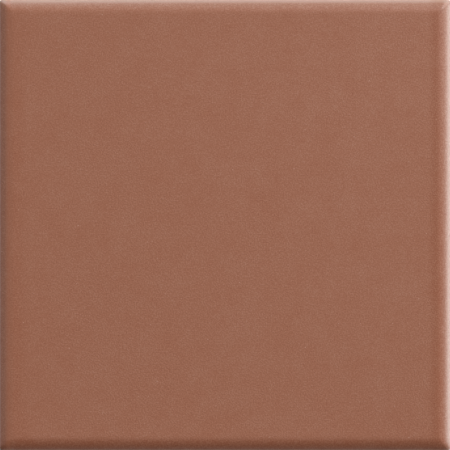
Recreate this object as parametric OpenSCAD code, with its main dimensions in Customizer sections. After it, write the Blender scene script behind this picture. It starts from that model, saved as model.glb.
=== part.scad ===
// Square ceramic wall tile with cushion edges and a keyed back.
// One pressed and fired piece, lying on its back with the glazed face up.
// Millimetres, +Z up. The origin is the middle of the back, on the crest of its ribs.

/* [Tile] */
// Width of the face, left edge to right edge
tile_width = 100; // [80:1:200]
// Height of the face, bottom edge to top edge
tile_height = 100; // [80:1:200]
// Thickness, from the rib crests on the back to the face
tile_thickness = 7; // [6:0.5:12]

/* [Edges] */
// Radius of the cushion edge, over which the face rolls down towards the sides
cushion_radius = 5; // [2:0.5:8]
// How far the cushion edge has turned down, in degrees, where it meets the arris
cushion_turn = 38; // [20:1:60]
// Radius of the arris, between the cushion edge and the upright sides
arris_radius = 0.3; // [0.2:0.1:1]
// Radius of the upright corners, seen from the face
corner_radius = 0.6; // [0.3:0.1:2.5]
// Width of the bevel round the back, which keeps the arris from chipping
back_bevel = 0.5; // [0.2:0.1:1]

/* [Keyed back] */
// Width of the plain rim round the back
rim_width = 7; // [4:0.2:10]
// Width of the rib crest between two recesses
rib_width = 2.4; // [1.2:0.2:3.2]
// How many recesses stand side by side across the width
recesses_across = 8; // [4:1:10]
// How many recesses stand one above the other up the height
recesses_up = 8; // [4:1:10]
// Depth of the recesses, which the adhesive keys into
key_depth = 0.9; // [0.4:0.1:1.2]
// Lean of the recess walls from upright, which lets the pressed tile leave its die
key_draft = 30; // [5:5:45]

/* [Colours] */
// Matt glaze on the face
glaze_colour = "#996853"; // [#996853:Terracotta, #C8B9A0:Sand, #6B7468:Sage, #3F4146:Slate]

/* [Hidden] */

// How far a cutter runs past the surface that it cuts
overrun = 1;
// Height of the cushion arc's centre
cushion_level = tile_thickness - cushion_radius;
// Height of the arris arc's centre, where the upright side ends
arris_level = cushion_level + (cushion_radius - arris_radius) * cos(cushion_turn);
// Distance of the cushion arc's centre from the side, and so the width of the whole rolled edge
edge_width = arris_radius + (cushion_radius - arris_radius) * sin(cushion_turn);
// How much narrower a recess is at its floor than at its mouth
key_narrowing = 2 * key_depth * tan(key_draft);

// Point at this distance from the origin, and this far round from straight up
function clock_point(radius, turn) = radius * [sin(turn), cos(turn)];

// Outer band of a disc, between two turns from straight up
module arc_band(radius, start, end) {
    inside = 0.7 * radius;
    outside = 2 * radius;
    intersection() {
        circle(radius, $fn = 180);
        polygon([
            clock_point(inside, start), clock_point(outside, start),
            clock_point(outside, end), clock_point(inside, end),
        ]);
    }
}

// Right half of the section: bevelled back, upright side, arris, cushion edge, flat face
module half_section(half) {
    cushion_centre = [half - edge_width, cushion_level];
    polygon([
        [-overrun, 0], [half - back_bevel, 0], [half, back_bevel], [half, arris_level],
        cushion_centre + clock_point(cushion_radius, cushion_turn),
        [half - edge_width, tile_thickness], [-overrun, tile_thickness],
    ]);
    translate(cushion_centre)
        arc_band(cushion_radius, 0, cushion_turn);
    translate([half - arris_radius, arris_level])
        arc_band(arris_radius, cushion_turn, 90);
}

// Section through a tile of this width
module section(width) {
    for (side = [0, 1])
        mirror([side, 0])
            half_section(width / 2);
}

// A bar with the tile's section, which runs this far along Y
module bar(width, run) {
    rotate([90, 0, 0])
        linear_extrude(run + 2 * overrun, center = true)
            section(width);
}

// Outline of the tile seen from the face, with its small rounded corners
module outline() {
    square([tile_width - 2 * corner_radius, tile_height], center = true);
    square([tile_width, tile_height - 2 * corner_radius], center = true);
    for (x = [-1, 1], y = [-1, 1])
        translate([x * (tile_width / 2 - corner_radius), y * (tile_height / 2 - corner_radius)])
            circle(corner_radius, $fn = 48);
}

// Two bars cross, so the cushion edges meet on a mitre at each corner of the face
module blank() {
    intersection() {
        bar(tile_width, tile_height);
        rotate(90) bar(tile_height, tile_width);
        translate([0, 0, -overrun])
            linear_extrude(tile_thickness + 2 * overrun) outline();
    }
}

// Section of one recess with this width at its mouth, and walls that lean in to its floor
module recess_section(mouth) {
    half = mouth / 2;
    floor_half = (mouth - key_narrowing) / 2;
    polygon([
        [-half, -overrun], [half, -overrun],
        [half, 0], [floor_half, key_depth],
        [-floor_half, key_depth], [-half, 0],
    ]);
}

// Parallel troughs along Y that share the span between the two rims, with a rib between neighbours
module troughs(span, run, count) {
    pitch = (span - 2 * rim_width + rib_width) / count;
    for (i = [0 : count - 1])
        translate([(i - (count - 1) / 2) * pitch, 0, 0])
            rotate([90, 0, 0])
                linear_extrude(run, center = true)
                    recess_section(pitch - rib_width);
}

// Where the troughs of the two directions cross, there is a recess with four leaning walls
module recesses() {
    intersection() {
        troughs(tile_width, tile_height, recesses_across);
        rotate(90) troughs(tile_height, tile_width, recesses_up);
    }
}

module tile() {
    color(glaze_colour)
        difference() {
            blank();
            recesses();
        }
}

tile();
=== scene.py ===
"""Ceramic wall tile with a matt glazed face, cushion edges and a bare keyed back, on a plain studio floor.

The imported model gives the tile's place and overall size, and this script dresses it: one closed mesh that
has the glaze's own thickness and unevenness, the finishes, and a small studio. All lengths are in metres.
"""

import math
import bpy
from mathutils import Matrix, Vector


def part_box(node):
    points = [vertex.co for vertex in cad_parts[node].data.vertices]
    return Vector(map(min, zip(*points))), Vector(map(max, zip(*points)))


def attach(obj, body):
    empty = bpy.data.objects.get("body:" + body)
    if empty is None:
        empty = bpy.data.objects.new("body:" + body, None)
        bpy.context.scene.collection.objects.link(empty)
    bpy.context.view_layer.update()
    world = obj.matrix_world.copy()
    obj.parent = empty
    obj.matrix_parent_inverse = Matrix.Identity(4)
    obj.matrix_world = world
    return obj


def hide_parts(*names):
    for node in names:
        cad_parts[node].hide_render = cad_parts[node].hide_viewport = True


bl_info = {
    "name": "Ceramic wall tile",
    "version": (1, 0, 0),
    "blender": (4, 5, 0),
    "location": "3D View > Sidebar > Tile",
    "description": "Builds a pressed and glazed wall tile, and a plain studio to show it in",
    "category": "Add Mesh",
}

import bpy
import numpy as np
from bpy.props import FloatProperty, FloatVectorProperty, IntProperty, PointerProperty
from bpy.types import NodeSocket, Operator, Panel, PropertyGroup
from mathutils import Vector, noise

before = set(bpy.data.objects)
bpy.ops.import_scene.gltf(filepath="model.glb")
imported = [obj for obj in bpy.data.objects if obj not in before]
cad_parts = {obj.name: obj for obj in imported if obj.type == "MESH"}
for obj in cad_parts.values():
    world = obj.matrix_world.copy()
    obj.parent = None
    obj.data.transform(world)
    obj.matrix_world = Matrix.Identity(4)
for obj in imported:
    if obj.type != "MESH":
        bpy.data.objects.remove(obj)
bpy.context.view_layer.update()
TILE_LOW, TILE_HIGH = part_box("tile")

MM = 0.001

# Quads that each stretch of the mesh is divided into
CUSHION_STEPS = 12
ARRIS_STEPS = 5
EDGE_STEPS = CUSHION_STEPS + ARRIS_STEPS
RIM_STEPS = 16
WALL_STEPS = 6
FLOOR_STEPS = 4
CREST_STEPS = 4


def linear(hex_colour):
    """An sRGB hex colour as linear red, green, blue and full alpha."""
    channels = [int(hex_colour[i : i + 2], 16) / 255 for i in (1, 3, 5)]
    return [c / 12.92 if c <= 0.04045 else ((c + 0.055) / 1.055) ** 2.4 for c in channels] + [1.0]


def per_metre(size_mm):
    """Texture scale at which a pattern's features are about this size."""
    return 1 / (size_mm * MM)


class TileSizes(PropertyGroup):
    """Sizes that the overall box doesn't give. They follow the CAD model's own."""

    cushion_radius: FloatProperty(
        name="Cushion radius",
        description="Radius over which the face rolls down towards the sides",
        default=5 * MM, min=2 * MM, max=8 * MM, unit="LENGTH", precision=5,
    )
    cushion_turn: FloatProperty(
        name="Cushion turn",
        description="How far the cushion edge has turned down where it meets the arris",
        default=math.radians(38), min=math.radians(20), max=math.radians(60), unit="ROTATION",
    )
    arris_radius: FloatProperty(
        name="Arris radius",
        description="Radius between the cushion edge and the upright sides",
        default=0.3 * MM, min=0.2 * MM, max=1 * MM, unit="LENGTH", precision=5,
    )
    corner_radius: FloatProperty(
        name="Corner radius",
        description="Radius of the upright corners, seen from the face",
        default=0.6 * MM, min=0.3 * MM, max=2.5 * MM, unit="LENGTH", precision=5,
    )
    back_bevel: FloatProperty(
        name="Back bevel",
        description="Width of the bevel round the back",
        default=0.5 * MM, min=0.2 * MM, max=1 * MM, unit="LENGTH", precision=5,
    )
    rim_width: FloatProperty(
        name="Back rim",
        description="Width of the plain rim round the back",
        default=7 * MM, min=4 * MM, max=10 * MM, unit="LENGTH", precision=5,
    )
    rib_width: FloatProperty(
        name="Rib",
        description="Width of the rib crest between two recesses",
        default=2.4 * MM, min=1.2 * MM, max=3.2 * MM, unit="LENGTH", precision=5,
    )
    recesses: IntProperty(
        name="Recesses a side",
        description="How many recesses stand side by side on the back",
        default=8, min=4, max=10,
    )
    key_depth: FloatProperty(
        name="Recess depth",
        description="Depth of the recesses that the adhesive keys into",
        default=0.9 * MM, min=0.4 * MM, max=1.2 * MM, unit="LENGTH", precision=5,
    )
    key_draft: FloatProperty(
        name="Recess draft",
        description="Lean of the recess walls from upright",
        default=math.radians(30), min=math.radians(5), max=math.radians(45), unit="ROTATION",
    )
    glaze_thickness: FloatProperty(
        name="Glaze thickness",
        description="How far the glaze stands proud of the bare clay on the sides",
        default=0.12 * MM, min=0.05 * MM, max=0.3 * MM, unit="LENGTH", precision=5,
    )
    glaze_overlap: FloatProperty(
        name="Glaze overlap",
        description="How far the glaze runs down the sides, below the cushion edge",
        default=0.6 * MM, min=0.2 * MM, max=2 * MM, unit="LENGTH", precision=5,
    )
    glaze_waver: FloatProperty(
        name="Glaze waver",
        description="How far the lower edge of the glaze strays up and down",
        default=0.25 * MM, min=0, max=0.5 * MM, unit="LENGTH", precision=5,
    )
    glaze_unevenness: FloatProperty(
        name="Glaze unevenness",
        description="Depth of the soft dips that the melted glaze sets with",
        default=0.014 * MM, min=0, max=0.1 * MM, unit="LENGTH", precision=6,
    )


class TileColours(PropertyGroup):
    """Colours of the two surfaces, each with the tones that it strays to, and the glaze's painted
    highlight, sheen, shade and light along its sides.
    """

    glaze: FloatVectorProperty(
        name="Glaze", description="The glaze where it is thick and even",
        subtype="COLOR", size=4, min=0, max=1, default=linear("#94614B"),
    )
    glaze_light: FloatVectorProperty(
        name="Glaze, light", description="The glaze where fine crystals lie close to its surface",
        subtype="COLOR", size=4, min=0, max=1, default=linear("#B39284"),
    )
    glaze_dark: FloatVectorProperty(
        name="Glaze, dark", description="The glaze in its pinholes and dips",
        subtype="COLOR", size=4, min=0, max=1, default=linear("#753013"),
    )
    # Partly the glaze's own pale break over the arris, and partly a painted highlight: strongest on the top
    # and the right edges, where it stands for the sheen of the light from those sides
    glaze_arris_break_and_highlight: FloatVectorProperty(
        name="Glaze, arris", description="The glaze where it breaks pale over the arris",
        subtype="COLOR", size=4, min=0, max=1, default=linear("#AC8C80"),
    )
    # Painted sheen: a cooler, less red tint along the top and right edges, where the light falls
    glaze_painted_sheen_tint: FloatVectorProperty(
        name="Glaze, edges", description="Tint along the edges that faced the spray, which fires less red",
        subtype="COLOR", size=4, min=0, max=1, default=linear("#F7FDFF"),
    )
    # Painted light: a lighter, redder band at the foot of the left cushion, where the lamps light it less
    glaze_painted_light_tint: FloatVectorProperty(
        name="Glaze, pooled",
        description="The glaze at the foot of the left cushion, where it gathers and fires redder",
        subtype="COLOR", size=4, min=0, max=1, default=linear("#A3664C"),
    )
    # Painted shade: a darker, redder tint in bands on the shoulders of the left, bottom and right cushions,
    # where the turning surface loses its sheen
    glaze_painted_shade_tint: FloatVectorProperty(
        name="Glaze, shoulders", description="Tint where the glaze is thin and the clay shows through",
        subtype="COLOR", size=4, min=0, max=1, default=linear("#F3E7DD"),
    )
    biscuit: FloatVectorProperty(
        name="Biscuit", description="The bare fired clay of the back and sides",
        subtype="COLOR", size=4, min=0, max=1, default=linear("#AC7E68"),
    )
    biscuit_dark: FloatVectorProperty(
        name="Biscuit, dark", description="Iron-bearing grains in the clay",
        subtype="COLOR", size=4, min=0, max=1, default=linear("#90634F"),
    )


class StudioLight(PropertyGroup):
    """The stage's own look and the strength of its lamps."""

    floor: FloatVectorProperty(
        name="Floor", description="Paint of the studio floor",
        subtype="COLOR", size=4, min=0, max=1, default=linear("#EDEDEB"),
    )
    windows: FloatProperty(
        name="Windows", description="Strength of the soft window light from the right and the top",
        default=1, min=0, max=4,
    )
    softbox: FloatProperty(
        name="Softbox", description="Strength of the near softbox overhead",
        default=1, min=0, max=4,
    )
    sky: FloatProperty(
        name="Sky", description="Radiance of the upper walls and the ceiling",
        default=0, min=0, max=2,
    )


def add(tree, kind, inputs=None, **settings):
    """Adds a node with these settings, and links or fills each named input."""
    node = tree.nodes.new(kind)
    for name, value in settings.items():
        setattr(node, name, value)
    for name, value in (inputs or {}).items():
        socket = next(s for s in node.inputs if name in (s.identifier, s.name))
        if isinstance(value, NodeSocket):
            tree.links.new(value, socket)
        else:
            socket.default_value = value
    return node


def new_material(name):
    """An empty node material, with its output, and the point on the object that its patterns follow."""
    material = bpy.data.materials.new(name)
    material.use_nodes = True
    tree = material.node_tree
    tree.nodes.clear()
    output = add(tree, "ShaderNodeOutputMaterial")
    place = add(tree, "ShaderNodeTexCoord").outputs["Object"]
    return material, tree, output, place


def band(tree, inward, share, fades):
    """The share that a tone has in a soft band along a side. Inward is the distance from that side, and
    each fade is a pair of distances in millimetres: where the band is gone, and where it is whole."""
    for gone, whole in fades:
        fade = add(tree, "ShaderNodeMapRange", {
            "Value": inward, "From Min": gone * MM, "From Max": whole * MM, "To Max": share},
            interpolation_type="SMOOTHSTEP")
        share = fade.outputs["Result"]
    return share


def along_the_sides(tree, place, colour, colours):
    """Puts four tones over the glaze's colour: a pale break over the arris, partly the glaze's own and
    partly a painted highlight, most of all on the top and the right; a painted sheen, a cooler and less red
    tint along those two lit edges; painted shade, darker bands on the shoulders of all sides but the top;
    and painted light, a lighter and redder band at the foot of the left cushion."""
    axes = add(tree, "ShaderNodeSeparateXYZ", {"Vector": place})
    inward = {}
    for side, greater, lesser in (
        ("right", TILE_HIGH.x, axes.outputs["X"]),
        ("top", TILE_HIGH.y, axes.outputs["Y"]),
        ("left", axes.outputs["X"], TILE_LOW.x),
        ("bottom", axes.outputs["Y"], TILE_LOW.y),
    ):
        distance = add(tree, "ShaderNodeMath", {
            "Value": greater, "Value_001": lesser}, operation="SUBTRACT")
        inward[side] = distance.outputs["Value"]
    # Each tone has its blend, the way that its bands join, and the bands: side, share and fades
    for tint, blend, joined, bands in (
        # Pale break over the arris: partly the glaze's own, partly a painted highlight, strongest on the
        # lit top and right
        (colours.glaze_arris_break_and_highlight, "MIX", "MAXIMUM", (
            ("top", 1.0, [(1.2, 0.1)]),
            ("right", 0.6, [(1.2, 0.1)]),
            ("left", 0.45, [(0.5, 0.1)]),
            ("bottom", 0.45, [(0.5, 0.1)]),
        )),
        # Painted sheen: a cooler, less red tint along the lit top and right edges
        (colours.glaze_painted_sheen_tint, "MULTIPLY", "MAXIMUM", (
            ("top", 1.0, [(2.4, 1.0)]),
            ("right", 1.0, [(2.4, 1.0)]),
        )),
        # Painted shade: darker bands on the shoulders of the left, bottom and right cushions
        (colours.glaze_painted_shade_tint, "MULTIPLY", "ADD", (
            ("left", 0.5, [(1.8, 1.0)]),
            ("left", 0.35, [(2.4, 3.4), (7.0, 3.6)]),
            ("bottom", 0.95, [(0.2, 1.2), (3.0, 1.9)]),
            ("right", 0.85, [(0.8, 2.2), (5.4, 3.1)]),
        )),
        # Painted light: a lighter, redder band at the foot of the left cushion
        (colours.glaze_painted_light_tint, "MIX", "ADD", (
            ("left", 0.4, [(1.2, 1.9), (2.8, 2.1)]),
        )),
    ):
        total = 0.0
        for side, share, fades in bands:
            total = add(tree, "ShaderNodeMath", {
                "Value": total, "Value_001": band(tree, inward[side], share, fades)},
                operation=joined).outputs["Value"]
        colour = add(tree, "ShaderNodeMix", {
            "Factor_Float": total, "A_Color": colour, "B_Color": tint},
            data_type="RGBA", blend_type=blend).outputs["Result"]
    return colour


def specks(tree, place):
    """Tone that stray specks add: crumbs of unmelted frit, paler than the glaze, and as many pinholes."""
    # One speck to each 1.8 mm of breadth and depth, of which the surface cuts a few
    cell = 1.8
    # A speck is whole this far out from its middle, and has faded away at the second distance
    whole, gone = 0.06, 0.16
    cells = add(tree, "ShaderNodeTexVoronoi", {"Vector": place, "Scale": per_metre(cell)})
    speck = add(tree, "ShaderNodeMapRange", {
        "Value": cells.outputs["Distance"], "From Min": gone / cell, "From Max": whole / cell},
        interpolation_type="SMOOTHSTEP")
    # Each cell has a grey of its own between nought and one, which makes its speck dark or pale
    darkest, palest = -0.5, 0.6
    tone = add(tree, "ShaderNodeMath", {
        "Value": cells.outputs["Color"], "Value_001": palest - darkest, "Value_002": darkest},
        operation="MULTIPLY_ADD")
    return add(tree, "ShaderNodeMath", {
        "Value": speck.outputs["Result"], "Value_001": tone.outputs["Value"]},
        operation="MULTIPLY").outputs["Value"]


def matt_glaze(colours):
    """Matt terracotta glaze, sprayed and fired: crystals too fine to see scatter the light, so it has no
    mirror shine and only a pale sheen at a low angle, with a fine even grain and faint clouds of tone."""
    material, tree, output, place = new_material("Sprayed_Matt_Glaze")
    # Crystals are about 0.05 mm, and are drawn at 0.29 mm so that they show
    grain = add(tree, "ShaderNodeTexNoise", {
        "Vector": place, "Scale": per_metre(0.29), "Detail": 1.0, "Roughness": 0.5})
    # Mottles from the spray's droplets, from 8 mm down to 0.25 mm
    mottle = add(tree, "ShaderNodeTexNoise", {
        "Vector": place, "Scale": per_metre(8), "Detail": 5.0, "Roughness": 1.0})
    # How much of the tone each makes, about a middle tone of a half
    mottle_share, grain_share = 0.24, 0.64
    mottled = add(tree, "ShaderNodeMath", {
        "Value": mottle.outputs["Fac"], "Value_001": mottle_share,
        "Value_002": (1 - mottle_share - grain_share) / 2}, operation="MULTIPLY_ADD")
    grained = add(tree, "ShaderNodeMath", {
        "Value": grain.outputs["Fac"], "Value_001": grain_share, "Value_002": mottled.outputs["Value"]},
        operation="MULTIPLY_ADD")
    specked = add(tree, "ShaderNodeMath", {
        "Value": grained.outputs["Value"], "Value_001": specks(tree, place)}, operation="ADD")
    colour = add(tree, "ShaderNodeValToRGB", {"Fac": specked.outputs["Value"]})
    stops = colour.color_ramp.elements
    stops[0].position, stops[0].color = 0.0, colours.glaze_dark
    stops[1].position, stops[1].color = 1.0, colours.glaze_light
    stops.new(0.5).color = colours.glaze
    bump = add(tree, "ShaderNodeBump", {
        "Height": grain.outputs["Fac"], "Distance": 0.025 * MM, "Strength": 1.0})
    shader = add(tree, "ShaderNodeBsdfPrincipled", {
        "Base Color": along_the_sides(tree, place, colour.outputs["Color"], colours),
        "Roughness": 0.4, "IOR": 1.5, "Normal": bump.outputs["Normal"]})
    tree.links.new(shader.outputs["BSDF"], output.inputs["Surface"])
    return material


def fired_biscuit(colours):
    """Biscuit, dry-pressed from clay powder and fired: dead matt and slightly sandy, salmon with darker
    grains."""
    material, tree, output, place = new_material("Pressed_Clay_Biscuit")
    # The powder's granules are 0.4 mm across after pressing
    granules = add(tree, "ShaderNodeTexNoise", {
        "Vector": place, "Scale": per_metre(0.4), "Detail": 3.0, "Roughness": 0.6})
    # The fire leaves clouds 15 mm across
    clouds = add(tree, "ShaderNodeTexNoise", {
        "Vector": place, "Scale": per_metre(15), "Detail": 3.0, "Roughness": 0.5})
    # Granules and clouds each make this share of the tone
    share = 0.5
    grained = add(tree, "ShaderNodeMath", {
        "Value": granules.outputs["Fac"], "Value_001": share}, operation="MULTIPLY")
    clouded = add(tree, "ShaderNodeMath", {
        "Value": clouds.outputs["Fac"], "Value_001": share, "Value_002": grained.outputs["Value"]},
        operation="MULTIPLY_ADD")
    colour = add(tree, "ShaderNodeValToRGB", {"Fac": clouded.outputs["Value"]})
    # Below the first of these tones lie the dark grains, and above the second the plain clay
    stops = colour.color_ramp.elements
    stops[0].position, stops[0].color = 0.35, colours.biscuit_dark
    stops[1].position, stops[1].color = 0.6, colours.biscuit
    bump = add(tree, "ShaderNodeBump", {
        "Height": granules.outputs["Fac"], "Distance": 0.05 * MM, "Strength": 1.0})
    shader = add(tree, "ShaderNodeBsdfPrincipled", {
        "Base Color": colour.outputs["Color"], "Roughness": 0.9, "IOR": 1.45,
        "Normal": bump.outputs["Normal"]})
    tree.links.new(shader.outputs["BSDF"], output.inputs["Surface"])
    return material


def soft_min(a, b, blend):
    """The lesser of two values, eased over this blend where they are nearly equal."""
    near = np.maximum(blend - np.abs(a - b), 0) / blend
    return np.minimum(a, b) - near**2 * blend / 4


def with_round_corners(x, y, half_x, half_y, radius):
    """Moves the points of a square-cornered ring onto a ring whose corners have this radius."""
    from_side_x = half_x - np.abs(x)
    from_side_y = half_y - np.abs(y)
    # A sharp corner's radius of nought is raised a trace, so that nothing is divided by nought
    share = np.maximum(from_side_x, from_side_y) / np.maximum(radius, 1e-9)
    # A corner's middle is at 45 degrees, and the arc ends at 0 on one side and at 90 on the other
    turn = np.where(from_side_x < from_side_y, 1 - share, 1 + share) * math.pi / 4
    on_arc = share < 1
    arc_x = np.sign(x) * (half_x - radius + radius * np.cos(turn))
    arc_y = np.sign(y) * (half_y - radius + radius * np.sin(turn))
    return np.where(on_arc, arc_x, x), np.where(on_arc, arc_y, y)


def face_lines(half, insets, steps):
    """Grid lines across the face: close together round both cushion edges, and even between them."""
    edge = -half + insets[:-1]
    inner = half - insets[-1]
    return np.concatenate([edge, np.linspace(-inner, inner, steps + 1), -edge[::-1]])


def recess_edges(half, sizes):
    """Where each recess's mouth begins and ends, across the back."""
    pitch = (2 * (half - sizes.rim_width) + sizes.rib_width) / sizes.recesses
    begins = -half + sizes.rim_width + pitch * np.arange(sizes.recesses)
    return begins, begins + pitch - sizes.rib_width


def back_lines(half, outer, sizes):
    """Grid lines across the back, from its outer ring inwards: rim, then walls, floors and rib crests."""
    slope = sizes.key_depth * math.tan(sizes.key_draft)
    # The lines of a wall reach this far past it, over the round arris at its top and its foot
    arris = 0.15 * MM
    wall = np.linspace(-arris, slope + arris, WALL_STEPS + 1)
    lines = [np.array([-outer])]
    for begin, end in zip(*recess_edges(half, sizes)):
        crest_steps = RIM_STEPS if len(lines) == 1 else CREST_STEPS
        lines.append(np.linspace(lines[-1][-1], begin + wall[0], crest_steps + 1)[1:])
        lines.append(begin + wall[1:])
        lines.append(np.linspace(begin + wall[-1], end - wall[-1], FLOOR_STEPS + 1)[1:])
        lines.append(end - wall[::-1][1:])
    lines.append(np.linspace(lines[-1][-1], outer, RIM_STEPS + 1)[1:])
    return np.concatenate(lines)


def inside_recess(along, half, sizes):
    """How far inside a recess's mouth each place lies, and below nought on the ribs and the rim."""
    begins, ends = recess_edges(half, sizes)
    gap = np.minimum(along[:, None] - begins, ends - along[:, None])
    return gap.max(axis=1)


def ring_of(steps_x, steps_y):
    """Grid indices once round the outside of a grid, anticlockwise from its lowest corner."""
    walk = [(i, 0) for i in range(steps_x)] + [(steps_x, j) for j in range(steps_y)]
    walk += [(i, steps_y) for i in range(steps_x, 0, -1)] + [(0, j) for j in range(steps_y, 0, -1)]
    return tuple(np.array(walk).T)


def grid_quads(numbers):
    """Quads of a grid of vertex numbers, facing up."""
    corners = (numbers[:-1, :-1], numbers[1:, :-1], numbers[1:, 1:], numbers[:-1, 1:])
    return np.stack([c.ravel() for c in corners], axis=1)


def waver(points, size_mm, seed):
    """Smooth noise from -1 to 1 at each point, with features about this size."""
    shift = Vector((seed, 2 * seed, 3 * seed))
    scale = per_metre(size_mm)
    return np.array([noise.noise(Vector(p) * scale + shift) for p in points])


def edge_width(sizes):
    """Width of the whole edge, from the upright side in to where the face is flat."""
    return sizes.arris_radius + (sizes.cushion_radius - sizes.arris_radius) * math.sin(sizes.cushion_turn)


def edge_profile(sizes):
    """Rings of the edge from the upright side in: each one's turn down from flat, inset and height."""
    to_cushion = sizes.cushion_radius - sizes.arris_radius
    arris_level = TILE_HIGH.z - sizes.cushion_radius + to_cushion * math.cos(sizes.cushion_turn)
    arris = np.linspace(math.pi / 2, sizes.cushion_turn, ARRIS_STEPS + 1)[:-1]
    cushion = np.linspace(sizes.cushion_turn, 0, CUSHION_STEPS + 1)
    insets = np.concatenate([
        sizes.arris_radius * (1 - np.sin(arris)),
        edge_width(sizes) - sizes.cushion_radius * np.sin(cushion)])
    heights = np.concatenate([
        arris_level + sizes.arris_radius * np.cos(arris),
        TILE_HIGH.z - sizes.cushion_radius * (1 - np.cos(cushion))])
    return np.concatenate([arris, cushion]), insets, heights


def cushion_drop(inset, sizes):
    """How far the cushion's arc has dropped below the flat face, this far in from the upright side."""
    along = np.clip(edge_width(sizes) - inset, 0, None)
    return sizes.cushion_radius - np.sqrt(sizes.cushion_radius**2 - along**2)


def face_grid(half_x, half_y, steps_inner_x, steps_inner_y, sizes):
    """Face and cushion edges: a grid whose outer rings drop round the edge's two arcs."""
    turn, insets, heights = edge_profile(sizes)
    radii = sizes.corner_radius * np.sqrt(np.clip(turn / sizes.cushion_turn, 0, 1))
    lines_x = face_lines(half_x, insets, steps_inner_x)
    lines_y = face_lines(half_y, insets, steps_inner_y)
    i, j = np.indices((len(lines_x), len(lines_y)))
    ring = np.minimum.reduce([i, len(lines_x) - 1 - i, j, len(lines_y) - 1 - j])
    ring = np.minimum(ring, EDGE_STEPS)
    x, y = with_round_corners(
        lines_x[i], lines_y[j], half_x - insets[ring], half_y - insets[ring], radii[ring])
    # The glaze melts into a soft pillow where two cushion edges meet, in place of a sharp mitre
    drop = np.cbrt(
        cushion_drop(half_x - np.abs(x), sizes) ** 3 + cushion_drop(half_y - np.abs(y), sizes) ** 3)
    arris_drop = TILE_HIGH.z - heights - cushion_drop(insets, sizes)
    z = TILE_HIGH.z - drop - arris_drop[ring]
    return np.stack([x, y, z], axis=-1), lines_x / half_x, lines_y / half_y


def back_grid(half_x, half_y, outer_x, outer_y, sizes):
    """Back, from the rim's outer ring inwards, with the recesses pressed into it."""
    lines_x = back_lines(half_x, outer_x, sizes)
    lines_y = back_lines(half_y, outer_y, sizes)
    # The recesses' corners, feet and mouths are all eased over this length
    ease = 0.2 * MM
    inside = soft_min(
        inside_recess(lines_x, half_x, sizes)[:, None],
        inside_recess(lines_y, half_y, sizes)[None, :],
        ease)
    depth = soft_min(inside / math.tan(sizes.key_draft), sizes.key_depth, ease)
    depth = -soft_min(-depth, 0, ease)
    x, y = np.meshgrid(lines_x, lines_y, indexing="ij")
    return np.stack([x, y, TILE_LOW.z + depth], axis=-1), lines_x / outer_x, lines_y / outer_y


def side_loops(half_x, half_y, top, face_share, back_share, ring, sizes):
    """Rings of points down the sides: the glaze to its wavering foot, then bare clay to the bevelled back.

    Each is a pair of the ring's points and whether the quads above it are glazed."""
    bevel_top = TILE_LOW.z + sizes.back_bevel
    skin = sizes.glaze_thickness
    i, j = ring
    around = np.stack([face_share[0][i] * half_x, face_share[1][j] * half_y, np.zeros(len(i))], axis=1)
    # The foot strays in long waves, with shorter and weaker ones on them
    strays = waver(around, size_mm=7, seed=5) + 0.5 * waver(around, size_mm=2.5, seed=9)
    foot = top - sizes.glaze_overlap + sizes.glaze_waver * strays
    bare = foot - bevel_top
    # Rounding of the bevel's two corners
    nose = 0.1 * MM
    # The middle of a quarter round stands this share of its radius in from both ends
    middle = 0.3
    # The upright corners tighten with each inset, down to this radius
    tightest = 0.1 * MM
    plan = [
        # inset from the side, height, share of the way to the back's own spacing, glazed
        (0, foot + (top - foot) / 2, 0.1, True),
        (0, foot + skin, 0.2, True),
        (middle * skin, foot + middle * skin, 0.25, True),
        (skin, foot, 0.3, True),
        (skin, foot - bare * 0.33, 0.45, False),
        (skin, foot - bare * 0.66, 0.6, False),
        (skin, bevel_top + nose, 0.75, False),
        (skin + middle * nose, bevel_top, 0.8, False),
        (sizes.back_bevel + skin - 1.2 * nose, TILE_LOW.z + nose, 0.9, False),
    ]
    loops = []
    for inset, height, share, glazed in plan:
        across = face_share[0][i] * (1 - share) + back_share[0][i] * share
        up = face_share[1][j] * (1 - share) + back_share[1][j] * share
        x, y = with_round_corners(
            across * (half_x - inset), up * (half_y - inset), half_x - inset, half_y - inset,
            max(sizes.corner_radius - inset, tightest))
        loops.append((np.stack([x, y, np.broadcast_to(height, x.shape)], axis=1), glazed))
    return loops


def tile_mesh(sizes):
    """The whole tile as one closed mesh. Material 0 is the glaze and material 1 the bare clay."""
    half_x = (TILE_HIGH.x - TILE_LOW.x) / 2
    half_y = (TILE_HIGH.y - TILE_LOW.y) / 2
    outer = sizes.back_bevel + sizes.glaze_thickness
    back, *back_share = back_grid(half_x, half_y, half_x - outer, half_y - outer, sizes)
    inner = [n - 1 - 2 * EDGE_STEPS for n in back.shape[:2]]
    face, *face_share = face_grid(half_x, half_y, *inner, sizes)
    ring = ring_of(face.shape[0] - 1, face.shape[1] - 1)
    loops = side_loops(half_x, half_y, face[ring][:, 2], face_share, back_share, ring, sizes)

    count = face.shape[0] * face.shape[1]
    face_numbers = np.arange(count).reshape(face.shape[:2])
    back_numbers = face_numbers + count
    points = [face.reshape(-1, 3), back.reshape(-1, 3)] + [loop for loop, _ in loops]
    quads = [grid_quads(face_numbers), grid_quads(back_numbers)[:, ::-1]]
    bare = [np.zeros(len(quads[0])), np.ones(len(quads[1]))]
    upper = face_numbers[ring]
    lowest = back_numbers[ring]
    first = 2 * count
    for k, (loop, glazed) in enumerate(loops + [(None, False)]):
        lower = lowest if loop is None else first + k * len(upper) + np.arange(len(upper))
        quads.append(np.stack([upper, lower, np.roll(lower, -1), np.roll(upper, -1)], axis=1))
        bare.append(np.full(len(upper), 0 if glazed else 1))
        upper = lower

    mesh = bpy.data.meshes.new("glazed_tile")
    mesh.from_pydata(np.concatenate(points).tolist(), [], np.concatenate(quads).tolist())
    mesh.polygons.foreach_set("material_index", np.concatenate(bare).astype(np.int32))
    mesh.shade_smooth()
    return mesh


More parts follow.
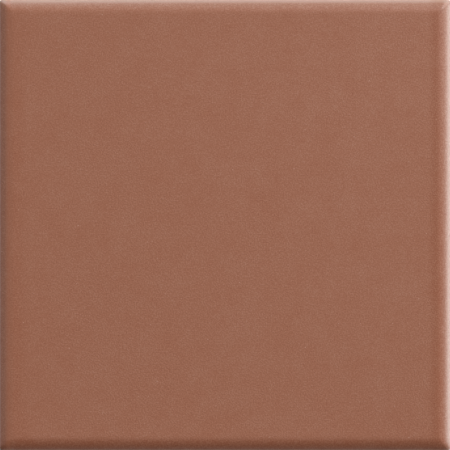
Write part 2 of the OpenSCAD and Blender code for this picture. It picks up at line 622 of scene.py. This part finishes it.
def settle_glaze(mesh, sizes):
    """Lets the surface dip softly inwards, as melted glaze sets, and never outwards."""
    points = np.empty(len(mesh.vertices) * 3)
    mesh.vertices.foreach_get("co", points)
    normals = np.empty(len(mesh.vertices) * 3)
    mesh.vertex_normals.foreach_get("vector", normals)
    points, normals = points.reshape(-1, 3), normals.reshape(-1, 3)
    face_up = np.clip(normals[:, 2], 0, 1)
    # Broad dips and small ones, together from nought to one
    dips = 0.5 + 0.35 * waver(points, size_mm=9, seed=3) + 0.15 * waver(points, size_mm=2.2, seed=7)
    points -= normals * (face_up * dips * sizes.glaze_unevenness)[:, None]
    mesh.vertices.foreach_set("co", points.ravel())
    mesh.update()


class TILE_OT_add_tile(Operator):
    """Build the glazed tile over its CAD solid"""

    bl_idname = "tile.add_tile"
    bl_label = "Ceramic tile"
    bl_options = {"REGISTER", "UNDO"}

    def execute(self, context):
        sizes, colours = context.scene.tile_sizes, context.scene.tile_colours
        mesh = tile_mesh(sizes)
        settle_glaze(mesh, sizes)
        if mesh.validate():
            raise RuntimeError("the tile's mesh had faults that had to be mended")
        mesh.materials.append(matt_glaze(colours))
        mesh.materials.append(fired_biscuit(colours))
        tile = bpy.data.objects.new("glazed_tile", mesh)
        context.scene.collection.objects.link(tile)
        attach(tile, "root")
        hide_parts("tile")
        return {"FINISHED"}


class TILE_OT_add_studio(Operator):
    """Set up the pale floor, the soft light and a camera that looks straight down on the face"""

    bl_idname = "tile.add_studio"
    bl_label = "Studio"
    bl_options = {"REGISTER", "UNDO"}

    def execute(self, context):
        scene, light = context.scene, context.scene.studio_light
        add_floor(scene, light)
        add_walls(scene, light)
        add_lamps(scene, light)
        add_camera(scene)
        scene.view_settings.view_transform = "Standard"
        return {"FINISHED"}


def add_floor(scene, light):
    """A painted floor that runs to the horizon, a hair below the tile."""
    reach = 8.0
    gap = 0.02 * MM
    mesh = bpy.data.meshes.new("studio_floor")
    corners = [(-reach, -reach, 0), (reach, -reach, 0), (reach, reach, 0), (-reach, reach, 0)]
    mesh.from_pydata(corners, [], [(0, 1, 2, 3)])
    material, tree, output, _ = new_material("Painted_Floor")
    shader = add(tree, "ShaderNodeBsdfPrincipled", {
        "Base Color": light.floor, "Roughness": 0.9, "Specular IOR Level": 0.15})
    tree.links.new(shader.outputs["BSDF"], output.inputs["Surface"])
    mesh.materials.append(material)
    floor = bpy.data.objects.new("studio_floor", mesh)
    floor.location.z = TILE_LOW.z - gap
    scene.collection.objects.link(floor)


def add_walls(scene, light):
    """Walls that are as pale as the floor at the horizon, under a dim ceiling."""
    paleness = 0.85
    # Heights between which the walls dim, where the horizon is nought and straight up is one
    pale_below, dim_above = 0.06, 0.12
    world = bpy.data.worlds.new("Studio_Walls")
    world.use_nodes = True
    tree = world.node_tree
    tree.nodes.clear()
    direction = add(tree, "ShaderNodeTexCoord").outputs["Generated"]
    height = add(tree, "ShaderNodeSeparateXYZ", {"Vector": direction}).outputs["Z"]
    strength = add(tree, "ShaderNodeMapRange", {
        "Value": height, "From Min": pale_below, "From Max": dim_above,
        "To Min": paleness, "To Max": light.sky}, interpolation_type="SMOOTHSTEP")
    walls = add(tree, "ShaderNodeBackground", {
        "Color": (1, 1, 1, 1), "Strength": strength.outputs["Result"]})
    output = add(tree, "ShaderNodeOutputWorld")
    tree.links.new(walls.outputs["Background"], output.inputs["Surface"])
    scene.world = world


def aim(thing, target):
    """Turns a lamp or camera, which looks along its own -Z, towards a point."""
    thing.rotation_euler = (Vector(target) - thing.location).to_track_quat("-Z", "Y").to_euler()


def towards(azimuth, elevation):
    """Unit vector that points this many degrees round from +X, and up from the floor."""
    a, e = math.radians(azimuth), math.radians(elevation)
    return Vector((math.cos(e) * math.cos(a), math.cos(e) * math.sin(a), math.sin(e)))


def add_lamps(scene, light):
    """A broad key window from the upper right, narrower windows on both of its sides, a weak fill from the
    left, and a near softbox that gives the light its falloff."""
    for name, azimuth, elevation, spread, strength in (
        ("key_window", 45, 38, 40, 0.80),
        ("right_window", 0, 22, 24, 0.31),
        ("right_window_low", 0, 12, 18, 0.34),
        ("top_window", 111, 29, 24, 0.43),
        ("left_fill", 180, 30, 40, 0.10),
    ):
        window = bpy.data.objects.new(name, bpy.data.lights.new(name, "SUN"))
        window.data.energy = strength * math.pi * light.windows
        window.data.angle = math.radians(spread)
        window.location = towards(azimuth, elevation)
        scene.collection.objects.link(window)
        aim(window, (0, 0, 0))
    watts = 0.23
    breadth = 0.15
    distance = 0.35
    softbox = bpy.data.objects.new("softbox", bpy.data.lights.new("softbox", "AREA"))
    softbox.data.energy = watts * light.softbox
    softbox.data.size = breadth
    softbox.location = towards(45, 42) * distance
    scene.collection.objects.link(softbox)
    aim(softbox, (0, 0, 0))


def add_camera(scene):
    """A long lens straight above the middle, whose view ends a hair inside the tile's outline."""
    # How much narrower than the outline the view is
    trim = 0.18 * MM
    camera = bpy.data.objects.new("camera", bpy.data.cameras.new("camera"))
    camera.data.lens = 200
    spread = camera.data.sensor_width / camera.data.lens
    _, _, heights = edge_profile(scene.tile_sizes)
    camera.location.z = heights[0] + (TILE_HIGH.x - TILE_LOW.x - trim) / spread
    camera.data.clip_start = 10 * MM
    scene.collection.objects.link(camera)
    scene.camera = camera


class TILE_PT_tools(Panel):
    """Lists the tile, the studio and their sizes and colours"""

    bl_idname = "TILE_PT_tools"
    bl_label = "Ceramic wall tile"
    bl_space_type = "VIEW_3D"
    bl_region_type = "UI"
    bl_category = "Tile"

    def draw(self, context):
        for title, group, operator in (
            ("Sizes", context.scene.tile_sizes, TILE_OT_add_tile.bl_idname),
            ("Colours", context.scene.tile_colours, TILE_OT_add_tile.bl_idname),
            ("Studio", context.scene.studio_light, TILE_OT_add_studio.bl_idname),
        ):
            box = self.layout.box()
            box.label(text=title)
            for name in group.__annotations__:
                box.prop(group, name)
            box.operator(operator)


CLASSES = (TileSizes, TileColours, StudioLight, TILE_OT_add_tile, TILE_OT_add_studio, TILE_PT_tools)
GROUPS = {"tile_sizes": TileSizes, "tile_colours": TileColours, "studio_light": StudioLight}


def register():
    for cls in CLASSES:
        bpy.utils.register_class(cls)
    for name, group in GROUPS.items():
        setattr(bpy.types.Scene, name, PointerProperty(type=group))


def unregister():
    for name in GROUPS:
        delattr(bpy.types.Scene, name)
    for cls in reversed(CLASSES):
        bpy.utils.unregister_class(cls)


def main():
    register()
    bpy.ops.tile.add_tile()
    bpy.ops.tile.add_studio()


if __name__ == "__main__":
    main()
